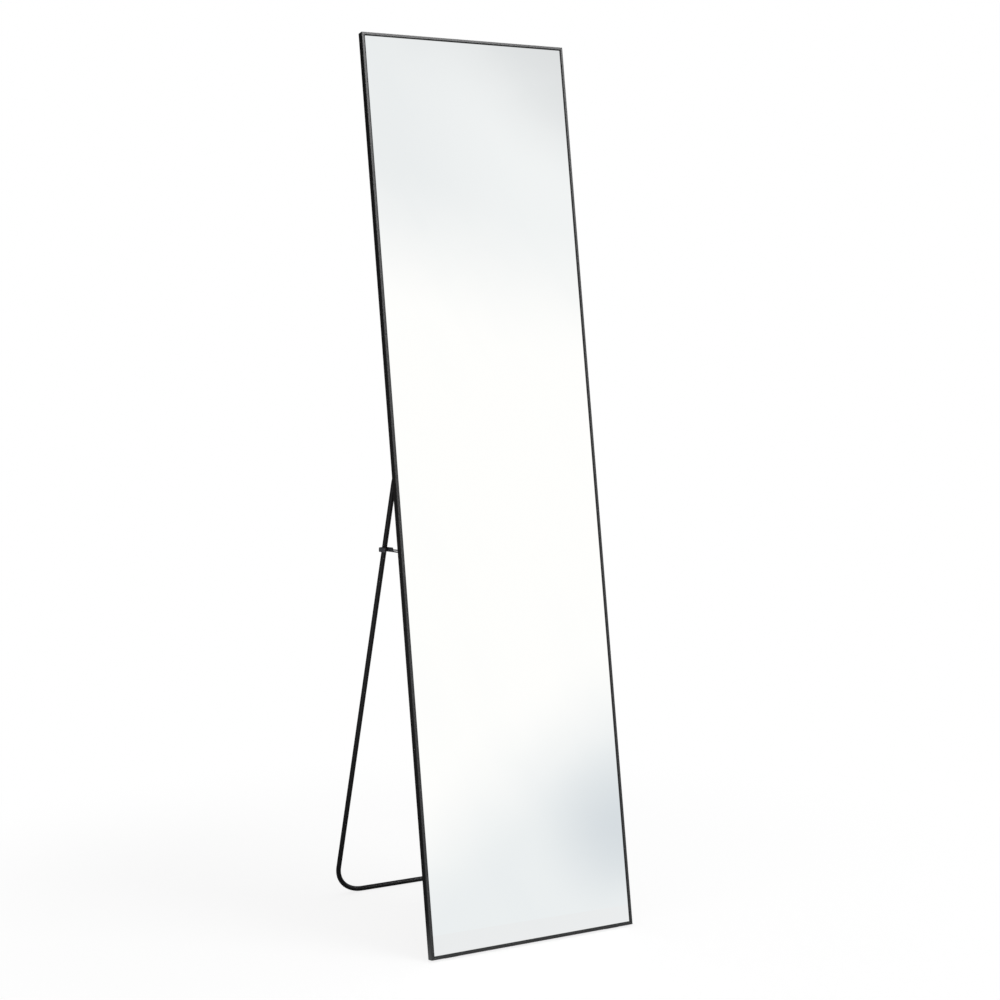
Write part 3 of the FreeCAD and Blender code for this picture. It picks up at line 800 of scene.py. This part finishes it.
@dataclass(frozen=True)
class BrushedBlack:
    """Black anodised rails, brushed along their length, with a fine line at each mitre."""

    lean: Lean = Lean()
    dark: Colour = (0.0015, 0.0015, 0.0017)
    worn: Colour = (0.0045, 0.0045, 0.0047)
    seam: Colour = (0.001, 0.001, 0.001)
    gloss: float = 0.58
    roughness: float = 0.26
    brush_roughness: float = 0.10
    patch_roughness: float = 0.05
    seam_roughness: float = 0.2
    bevel_roughness: float = 0.45
    scale_across: float = 900.0
    scale_along: float = 9.0
    patch_scale: float = 22.0
    brush_span: Span = (0.35, 0.8)
    patch_span: Span = (0.4, 0.9)
    brush_share: float = 0.6
    mitre_blur: float = 0.01 * MM
    bevel_blur: float = 0.1 * MM
    seam_half_width: float = 0.22 * MM
    seam_sharp_share: float = 0.4
    seam_dip: float = 2.0
    grain_depth: float = 0.015 * MM

    def paint(self, graph: Graph) -> None:
        """Brush lines follow each rail; the nearer edge of the frame tells which rail it is.

        With d the distance to the side edge and e the one to the top or bottom edge, the
        mitre is where d = e, the upright rails where d < e.  The lip's bevel, which the
        brush didn't reach, is the inner part of the front and is duller.

        Args:
            graph: The finish's node tree.
        """
        lean, across, along = self.lean, self.scale_across, self.scale_along
        place = graph.position()
        side, end = lean.from_edges(graph, place)
        upright = (end - side).rise(-self.mitre_blur, self.mitre_blur)
        lean_turn = (math.atan2(lean.up[1], lean.up[2]), 0.0, 0.0)
        rising = graph.noise(graph.stretched(place, lean_turn, (across, across, along)), 1.0, detail=2.0)
        level = graph.noise(graph.stretched(place, lean_turn, (along, across, across)), 1.0, detail=2.0)
        grain = rising * upright + level * (1 - upright)
        patches = graph.noise(place, self.patch_scale, detail=4.0)
        seam = 1 - abs(end - side).rise(self.seam_half_width * self.seam_sharp_share, self.seam_half_width)
        from_front = graph.along(place, lean.back) - float(lean.origin @ lean.back) + lean.depth
        bevel_edge = lean.lip - lean.lip_bevel
        bevel = (side.least(end).rise(bevel_edge, bevel_edge + self.bevel_blur)
                 * (1 - from_front.rise(lean.lip_bevel, 2 * lean.lip_bevel)))
        wear = (grain.rise(*self.brush_span) * self.brush_share
                + patches.rise(*self.patch_span) * (1 - self.brush_share))
        bare = graph.blend(wear * (1 - seam.greatest(bevel)), self.dark, self.worn)
        dulled = (self.brush_roughness * grain + self.patch_roughness * patches
                  + self.seam_roughness * seam + self.bevel_roughness * bevel)
        graph.surface(base_color=graph.blend(seam, bare, self.seam), specular_ior_level=self.gloss,
                      roughness=self.roughness + dulled,
                      normal=graph.bump(grain - seam * self.seam_dip, self.grain_depth))


@dataclass(frozen=True)
class PowderCoat:
    """Baked powder paint: an even orange peel with finer grit on it."""

    dark: Colour
    light: Colour
    roughness: float
    gloss: float = 0.25
    peel_scale: float = 900.0
    grit_scale: float = 3200.0
    cloud_scale: float = 25.0
    peel_span: Span = (0.05, 0.75)
    shade_span: Span = (0.3, 0.7)
    shade_shares: Triple = (0.1, 0.6, 0.3)
    peel_dip: float = 0.7
    grit_rise: float = 0.3
    grit_roughness: float = 0.12
    cloud_roughness: float = 0.08
    depth: float = 0.06 * MM

    def paint(self, graph: Graph) -> None:
        """Rounded cells of paint stand up, and grit dulls them here and there.

        The shade is a sum of the cells, the grit and broad clouds, by their shares.

        Args:
            graph: The finish's node tree.
        """
        place = graph.position()
        peel = graph.cells(place, self.peel_scale).rise(*self.peel_span)
        grit = graph.noise(place, self.grit_scale, detail=2.0)
        cloud = graph.noise(place, self.cloud_scale)
        of_peel, of_grit, of_cloud = self.shade_shares
        shade = (peel * of_peel + grit * of_grit + cloud * of_cloud).rise(*self.shade_span)
        dulled = self.grit_roughness * (grit - 0.5) + self.cloud_roughness * (cloud - 0.5)
        graph.surface(base_color=graph.blend(shade, self.dark, self.light), specular_ior_level=self.gloss,
                      roughness=self.roughness + dulled,
                      normal=graph.bump(1 - peel * self.peel_dip + grit * self.grit_rise, self.depth))


@dataclass(frozen=True)
class Plated:
    """Zinc on steel: small clouded crystals under a thin clear layer."""

    dark: Colour
    light: Colour
    roughness: float
    crystal_scale: float = 700.0
    crystal_span: Span = (0.1, 0.8)
    line_turn: Triple = (0.3, 0.2, 0.1)
    line_scale: Triple = (2500.0, 260.0, 2500.0)
    line_depth: float = 0.01 * MM
    shade_roughness: float = 0.14

    def paint(self, graph: Graph) -> None:
        """Crystals differ in shade and gloss, and fine lines cross them.

        Args:
            graph: The finish's node tree.
        """
        place = graph.position()
        crystal = graph.cells(place, self.crystal_scale).rise(*self.crystal_span)
        lines = graph.noise(graph.stretched(place, self.line_turn, self.line_scale), 1.0, detail=2.0)
        shade = crystal * 0.5 + lines * 0.5
        graph.surface(base_color=graph.blend(shade, self.dark, self.light), metallic=1.0,
                      roughness=self.roughness + self.shade_roughness * shade,
                      normal=graph.bump(lines, self.line_depth))


@dataclass(frozen=True)
class Moulded:
    """Moulded plastic or rubber, with the fine grain of its mould and faint flow clouds."""

    dark: Colour
    light: Colour
    roughness: float
    grain_scale: float = 2200.0
    depth: float = 0.03 * MM
    subsurface: float = 0.0
    subsurface_depth: float = 0.5 * MM
    cloud_scale: float = 140.0
    cloud_share: float = 0.7
    shade_span: Span = (0.25, 0.75)
    grain_roughness: float = 0.15

    def paint(self, graph: Graph) -> None:
        """Grain in the surface, and clouds in colour and gloss.

        Args:
            graph: The finish's node tree.
        """
        place = graph.position()
        grain = graph.noise(place, self.grain_scale, roughness=0.6)
        cloud = graph.noise(place, self.cloud_scale)
        shade = (cloud * self.cloud_share + grain * (1 - self.cloud_share)).rise(*self.shade_span)
        graph.surface(base_color=graph.blend(shade, self.dark, self.light),
                      roughness=self.roughness + self.grain_roughness * (grain - 0.5),
                      subsurface_weight=self.subsurface, subsurface_scale=self.subsurface_depth,
                      normal=graph.bump(grain, self.depth))


@dataclass(frozen=True)
class Hardboard:
    """Pressed brown fibre: a smooth skin with short fibres every way and flecks in it."""

    dark: Colour = (0.118, 0.064, 0.036)
    light: Colour = (0.205, 0.118, 0.069)
    fleck: Colour = (0.070, 0.037, 0.021)
    roughness: float = 0.52
    fibre_roughness: float = 0.14
    fibre_depth: float = 0.03 * MM
    fibre_turns: tuple[float, ...] = (0.2, 0.95, 1.75, 2.5)
    fibre_scale: Triple = (1300.0, 1300.0, 210.0)
    fibre_share: float = 0.8
    cloud_scale: float = 5.0
    shade_span: Span = (0.45, 0.75)
    fleck_scale: float = 260.0
    fleck_span: Span = (0.08, 0.22)
    fleck_share: float = 0.8
    rare_scale: float = 90.0
    rare_span: Span = (0.52, 0.6)

    def paint(self, graph: Graph) -> None:
        """The strongest of four layers of fibres, broad faint clouds and small dark flecks.

        Args:
            graph: The finish's node tree.
        """
        place = graph.position()
        layers = [graph.noise(graph.stretched(place, (0.0, turn, 0.0), self.fibre_scale), 1.0, detail=2.0)
                  for turn in self.fibre_turns]
        fibre = functools.reduce(Term.greatest, layers)
        cloud = graph.noise(place, self.cloud_scale, detail=2.0)
        shade = (fibre * self.fibre_share + cloud * (1 - self.fibre_share)).rise(*self.shade_span)
        fleck = 1 - graph.cells(place, self.fleck_scale).rise(*self.fleck_span)
        rare = graph.noise(place, self.rare_scale).rise(*self.rare_span)
        skin = graph.blend(shade, self.dark, self.light)
        graph.surface(base_color=graph.blend(fleck * rare * self.fleck_share, skin, self.fleck),
                      roughness=self.roughness + self.fibre_roughness * fibre,
                      normal=graph.bump(fibre, self.fibre_depth))


@dataclass(frozen=True)
class RibbedRubber:
    """Foot pads: dull black rubber with fine ribs across it."""

    dark: Colour = (0.012, 0.012, 0.012)
    light: Colour = (0.034, 0.033, 0.032)
    roughness: float = 0.7
    rib_pitch: float = 1.5 * MM
    rib_depth: float = 0.1 * MM
    dust_scale: float = 500.0
    dust_roughness: float = 0.2
    dust_rise: float = 0.2

    def paint(self, graph: Graph) -> None:
        """Ribs are a sine across X, with a bloom of dust between them.

        Args:
            graph: The finish's node tree.
        """
        place = graph.position()
        wave = graph.along(place, X_AXIS) * (2 * math.pi / self.rib_pitch)
        rib = graph.maths("SINE", wave) * 0.5 + 0.5
        dust = graph.noise(place, self.dust_scale, detail=4.0)
        graph.surface(base_color=graph.blend((1 - rib) * dust, self.dark, self.light),
                      roughness=self.roughness + self.dust_roughness * dust,
                      normal=graph.bump(rib + dust * self.dust_rise, self.rib_depth))


@dataclass(frozen=True)
class WovenFilm:
    """The film that holds the splinters: pale, with crossed threads in it."""

    lean: Lean = Lean()
    dark: Colour = (0.50, 0.52, 0.53)
    light: Colour = (0.74, 0.76, 0.77)
    roughness: float = 0.5
    thread_roughness: float = 0.2
    thread_pitch: float = 1.2 * MM
    thread_depth: float = 0.05 * MM

    def paint(self, graph: Graph) -> None:
        """Threads are sines across X and up the mirror, the higher of the two on top.

        Args:
            graph: The finish's node tree.
        """
        place = graph.position()
        turn = 2 * math.pi / self.thread_pitch
        across = graph.maths("SINE", graph.along(place, X_AXIS) * turn)
        upward = graph.maths("SINE", graph.along(place, self.lean.up) * turn)
        thread = across.greatest(upward) * 0.5 + 0.5
        graph.surface(base_color=graph.blend(thread, self.dark, self.light),
                      roughness=self.roughness + self.thread_roughness * thread,
                      normal=graph.bump(thread, self.thread_depth))


@dataclass
class Paintbox:
    """Makes one material for each of the record's slots and puts it on nodes and pieces."""

    finishes: Mapping[str, Finish] = field(default_factory=lambda: {
        "mirror_glass": Silvering(),
        "backing_film": WovenFilm(),
        "back_board": Hardboard(),
        "foam": Moulded((0.07, 0.07, 0.07), (0.15, 0.15, 0.15), 0.8, grain_scale=1500.0, depth=0.2 * MM),
        "frame_aluminium": BrushedBlack(),
        "plain_steel": Plated((0.38, 0.39, 0.41), (0.62, 0.63, 0.65), 0.28),
        "zinc_screws": Plated((0.045, 0.045, 0.050), (0.13, 0.13, 0.14), 0.30),
        "bracket_steel": PowderCoat((0.012, 0.012, 0.012), (0.030, 0.030, 0.031), 0.40, gloss=0.45),
        "bolt_steel": Plated((0.04, 0.04, 0.045), (0.11, 0.11, 0.12), 0.28),
        "washer_nylon": Moulded((0.66, 0.65, 0.60), (0.82, 0.81, 0.77), 0.42, subsurface=0.2),
        "stand_steel": PowderCoat((0.005, 0.005, 0.0055), (0.013, 0.013, 0.014), 0.44),
        "stay_wire": Plated((0.05, 0.05, 0.056), (0.13, 0.13, 0.14), 0.30),
        "stay_sleeve": Moulded((0.034, 0.036, 0.042), (0.060, 0.063, 0.072), 0.48),
        "pad_rubber": RibbedRubber(),
    })

    def paint_all(self, pieces: Sequence[bpy.types.Object]) -> None:
        """Makes the materials, and gives each node and each new piece its own.

        Args:
            pieces: The new pieces, which hold their slots' names.
        """
        made = {slot: new_material(slot, finish) for slot, finish in self.finishes.items()}
        for part in frame["record"]["subparts"]:
            self.dress(frame["nodes"][part["node"]], made[part["material_slot"]])
        for piece in pieces:
            self.dress(piece, made[piece["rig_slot"]])

    @staticmethod
    def dress(thing: bpy.types.Object, material: bpy.types.Material) -> None:
        """Puts one material on an object in place of what it had."""
        thing.data.materials.clear()
        thing.data.materials.append(material)


# Studio -------------------------------------------------------------------------------


@dataclass(frozen=True)
class Veil:
    """Where a veil starts in the sky: past a slanting line, frayed by wisps."""

    slope: float
    fray: float
    span: Span

    def share(self, height: Term, aside: Term, wisps: Term) -> Term:
        """How thick it is, from 0 to 1, as height + slope aside + fray wisps crosses the span."""
        return (height + self.slope * aside + self.fray * wisps).rise(*self.span)


@dataclass(frozen=True)
class Sky:
    """What gloss sees: white in front on the right, veiled with pale grey above and below, a
    grey cloud low on the right, a bright panel high in front, a grey side on the right, a
    dark one behind on the left, and little light overhead."""

    aim: float = math.radians(29)
    wisp_scale: float = 12.0
    upper: Veil = Veil(slope=0.5, fray=0.04, span=(0.270, 0.350))
    upper_left: Colour = (0.835, 0.858, 0.875)
    upper_right: Colour = (0.885, 0.905, 0.918)
    upper_turn: Span = (-0.02, 0.06)
    corner: Veil = Veil(slope=0.8, fray=0.05, span=(0.385, 0.475))
    corner_grey: Colour = (0.710, 0.728, 0.745)
    lower: Veil = Veil(slope=0.55, fray=0.03, span=(-0.078, -0.004))
    lowest: Veil = Veil(slope=0.0, fray=0.02, span=(-0.005, 0.035))
    lower_grey: Colour = (0.835, 0.865, 0.885)
    cloud_aside: float = 0.044
    cloud_height: float = 0.010
    cloud_reach: float = 0.05
    cloud_fray: float = 0.02
    cloud_grey: Colour = (0.680, 0.725, 0.765)
    overhead: Colour = (0.12, 0.12, 0.13)
    overhead_span: Span = (0.46, 0.56)
    panel: Colour = (12.0, 12.0, 12.0)
    panel_bottom: Span = (0.45, 0.50)
    panel_top: Span = (0.66, 0.76)
    panel_side: Span = (0.25, 0.35)
    right_grey: Colour = (0.80, 0.82, 0.84)
    right_span: Span = (0.62, 0.85)
    left_way: Triple = (-0.60, 0.80, 0.0)
    left_span: Span = (0.30, 0.75)
    left_low: Colour = (0.12, 0.12, 0.12)
    left_high: Colour = (0.02, 0.02, 0.02)
    left_turn: Span = (-0.30, 0.15)

    def clouded(self, graph: Graph, height: Term, aside: Term, wisps: Term) -> Socket:
        """The part in front that the mirror shows: white, its veils and the grey cloud.

        Args:
            graph: The world's node tree.
            height: The direction's height.
            aside: Its way to the right of the mirror's aim.
            wisps: Noise about 0 that frays every edge.

        Returns:
            The colour by direction.
        """
        fall = 0 - height
        veil = graph.blend(aside.rise(*self.upper_turn), self.upper_left, self.upper_right)
        sky = graph.blend(self.upper.share(height, aside, wisps), WHITE, veil)
        sky = graph.blend(self.corner.share(height, aside, wisps), sky, self.corner_grey)
        low = self.lower.share(fall, aside, wisps).greatest(self.lowest.share(fall, aside, wisps))
        sky = graph.blend(low, sky, self.lower_grey)
        away = ((aside - self.cloud_aside) ** 2 + (height - self.cloud_height) ** 2) ** 0.5
        from_cloud = away + self.cloud_fray * wisps
        return graph.blend(1 - from_cloud.rise(0.0, self.cloud_reach), sky, self.cloud_grey)

    def colour(self, graph: Graph) -> Socket:
        """The whole sky, with what lies overhead and at the sides laid over the front.

        Args:
            graph: The world's node tree.

        Returns:
            The colour by direction.
        """
        direction = graph.node("ShaderNodeTexCoord").outputs["Generated"]
        height = graph.along(direction, Z_AXIS)
        aside = graph.along(direction, math.cos(self.aim) * X_AXIS + math.sin(self.aim) * Y_AXIS)
        wisps = graph.noise(direction, self.wisp_scale) - 0.5
        sky = self.clouded(graph, height, aside, wisps)
        sky = graph.blend(height.rise(*self.overhead_span), sky, self.overhead)
        panel = (height.rise(*self.panel_bottom) * (1 - height.rise(*self.panel_top))
                 * (1 - abs(aside).rise(*self.panel_side)))
        sky = graph.blend(panel, sky, self.panel)
        sky = graph.blend(graph.along(direction, X_AXIS).rise(*self.right_span), sky, self.right_grey)
        left = graph.along(direction, self.left_way).rise(*self.left_span)
        wall = graph.blend(height.rise(*self.left_turn), self.left_low, self.left_high)
        return graph.blend(left, sky, wall)


@dataclass(frozen=True)
class Floor:
    """A pale disc that keeps part of the shadow near the mirror, and is otherwise white to
    the camera, out to an edge that the white world hides; to gloss it shows painted shade
    near the mirror and behind it."""

    reach: float = 1.4
    sides: int = 96
    paper: Colour = (0.93, 0.93, 0.93)
    shadow_share: float = 0.20
    shadow_span: Span = (0.6, 1.26)
    mirrored_far: Colour = (0.830, 0.845, 0.862)
    # painted shade that gloss sees on the floor near the mirror and behind it
    painted_shade_near: Colour = (0.45, 0.46, 0.47)
    painted_shade_near_span: Span = (0.15, 0.45)
    painted_shade_behind: Colour = (0.06, 0.06, 0.06)
    painted_shade_behind_span: Span = (-0.20, 0.0)

    def lay(self) -> None:
        """Adds the disc, whose rim is x = r cos a, y = r sin a."""
        angle = round_angles(self.sides)
        rim = np.stack([np.cos(angle), np.sin(angle), np.zeros_like(angle)], axis=1) * self.reach
        mesh = bpy.data.meshes.new("floor")
        mesh.from_pydata(rim.tolist(), [], [list(range(self.sides))])
        mesh.materials.append(new_material("floor_paper", self))
        floor = add_object("floor", mesh)

    def paint(self, graph: Graph) -> None:
        """Paper for the light's rays, white for the camera, and greys with painted shade for what is mirrored.

        With r the distance from the middle, the camera sees a share of the paper's own
        shading, which fades out with r.  The mirrored grey has painted shade: darker at small r and behind the
        mirror.

        Args:
            graph: The floor's node tree.
        """
        place = graph.position()
        across, along = graph.along(place, X_AXIS), graph.along(place, Y_AXIS)
        out = (across * across + along * along) ** 0.5
        shadow = self.shadow_share * (1 - out.rise(*self.shadow_span))
        camera, mirrored = seen_by(graph)
        # painted shade: the floor as mirrored turns grey near the mirror and dark behind it
        gloss = graph.blend(out.rise(*self.painted_shade_near_span), self.painted_shade_near, self.mirrored_far)
        gloss = graph.blend(along.rise(*self.painted_shade_behind_span), gloss, self.painted_shade_behind)
        shown = graph.blend(mirrored, WHITE, gloss)
        paper = graph.node("ShaderNodeBsdfDiffuse", {"Color": self.paper})
        white = graph.node("ShaderNodeEmission", {"Color": shown, "Strength": 1.0})
        graph.mix((camera * (1 - shadow)).greatest(mirrored), paper, white, "ShaderNodeOutputMaterial")


@dataclass(frozen=True)
class Studio:
    """A white floor, a soft world and a lamp; the mirror sees white with pale grey veils."""

    floor: Floor = Floor()
    sky: Sky = Sky()
    world_light: float = 0.80
    key_power: float = 77.0
    key_size: float = 2.0
    key_place: Triple = (1.7, -2.3, 4.4)
    key_aim: Triple = (0.0, 0.0, 0.7)

    def light_world(self) -> None:
        """White for the camera, the sky for what is mirrored, and a plain level of light for
        everything else."""
        world = bpy.data.worlds.new("studio")
        bpy.context.scene.world = world
        world.use_nodes = True
        graph = Graph(world.node_tree)
        camera, mirrored = seen_by(graph)
        seen = graph.blend(camera, self.sky.colour(graph), WHITE)
        plain = graph.node("ShaderNodeBackground", {"Color": WHITE, "Strength": self.world_light})
        shown = graph.node("ShaderNodeBackground", {"Color": seen, "Strength": 1.0})
        graph.mix(camera.greatest(mirrored), plain, shown, "ShaderNodeOutputWorld")

    def hang_lamp(self) -> None:
        """A square soft lamp, high in front on the right, that faces the mirror."""
        lamp = bpy.data.lights.new("key_lamp", "AREA")
        lamp.shape, lamp.size, lamp.energy = "SQUARE", self.key_size, self.key_power
        hung = add_object("key_lamp", lamp)
        hung.location = self.key_place
        toward = Vector(self.key_aim) - Vector(self.key_place)
        hung.rotation_euler = toward.to_track_quat("-Z", "Y").to_euler()

    def set_up(self) -> None:
        """Floor, world and lamp, and plain colours in the picture."""
        self.floor.lay()
        self.light_world()
        self.hang_lamp()
        bpy.context.scene.view_settings.view_transform = "Standard"


@dataclass(frozen=True)
class Viewpoint:
    """The camera at the photograph's place, in the row's frame."""

    place: Triple = (-1.53441, -2.83620, 1.01857)
    turned_right: float = 29.153
    pitched_down: float = 5.416
    lens: float = 68.774
    sensor_width: float = 36.0

    def set_up(self) -> None:
        """Makes the camera and hands it to the scene."""
        data = bpy.data.cameras.new("viewpoint")
        data.lens, data.sensor_width = self.lens, self.sensor_width
        camera = add_object("viewpoint", data)
        camera.location = self.place
        camera.rotation_euler = (math.radians(90 - self.pitched_down), 0.0, -math.radians(self.turned_right))
        bpy.context.scene.camera = camera


# The whole ----------------------------------------------------------------------------


@dataclass(frozen=True)
class FloorMirror:
    """The pieces that take the places of nodes, and every finish."""

    lean: Lean = Lean()
    hinge_screws: Span = (15 * MM, 30 * MM)
    stay_screws: Span = (-10 * MM, 10 * MM)
    hanger_screws: Span = (-18.5 * MM, 18.5 * MM)
    hanger_height: float = 1390 * MM
    hinge_sheet: float = 1.5 * MM
    thin_sheet: float = 1.2 * MM

    def fasteners(self) -> list[bpy.types.Object]:
        """The screws of the brackets, and a bolt and a nut at each pivot.

        Returns:
            The new pieces.
        """
        stay_height = float((np.array(joint_place("stay_left_drop")) - self.lean.origin) @ self.lean.up)
        rows = [("hinge_screws", self.lean.hinge_height, self.hinge_screws, self.hinge_sheet),
                ("stay_screws", stay_height, self.stay_screws, self.thin_sheet),
                ("hanger_screws", self.hanger_height, self.hanger_screws, self.thin_sheet)]
        made = [PanScrews(node, self.lean, [middle + reach for reach in reaches], sheet).build()
                for node, middle, reaches, sheet in rows]
        for side in Side:
            made += [PivotBolt(side, self.lean).build(), LockNut(side, self.lean).build()]
        return made

    def build(self) -> None:
        """Makes every new piece and dresses it and the nodes."""
        pieces = self.fasteners() + [StaySleeve(side, self.lean).build() for side in Side]
        Paintbox().paint_all(pieces)


def main() -> None:
    """Builds the part, the studio and the camera in order."""
    logging.basicConfig(level=logging.INFO, format="%(name)s: %(message)s")
    Viewpoint().set_up()
    FloorMirror().build()
    Studio().set_up()


if __name__ == "__main__":
    main()
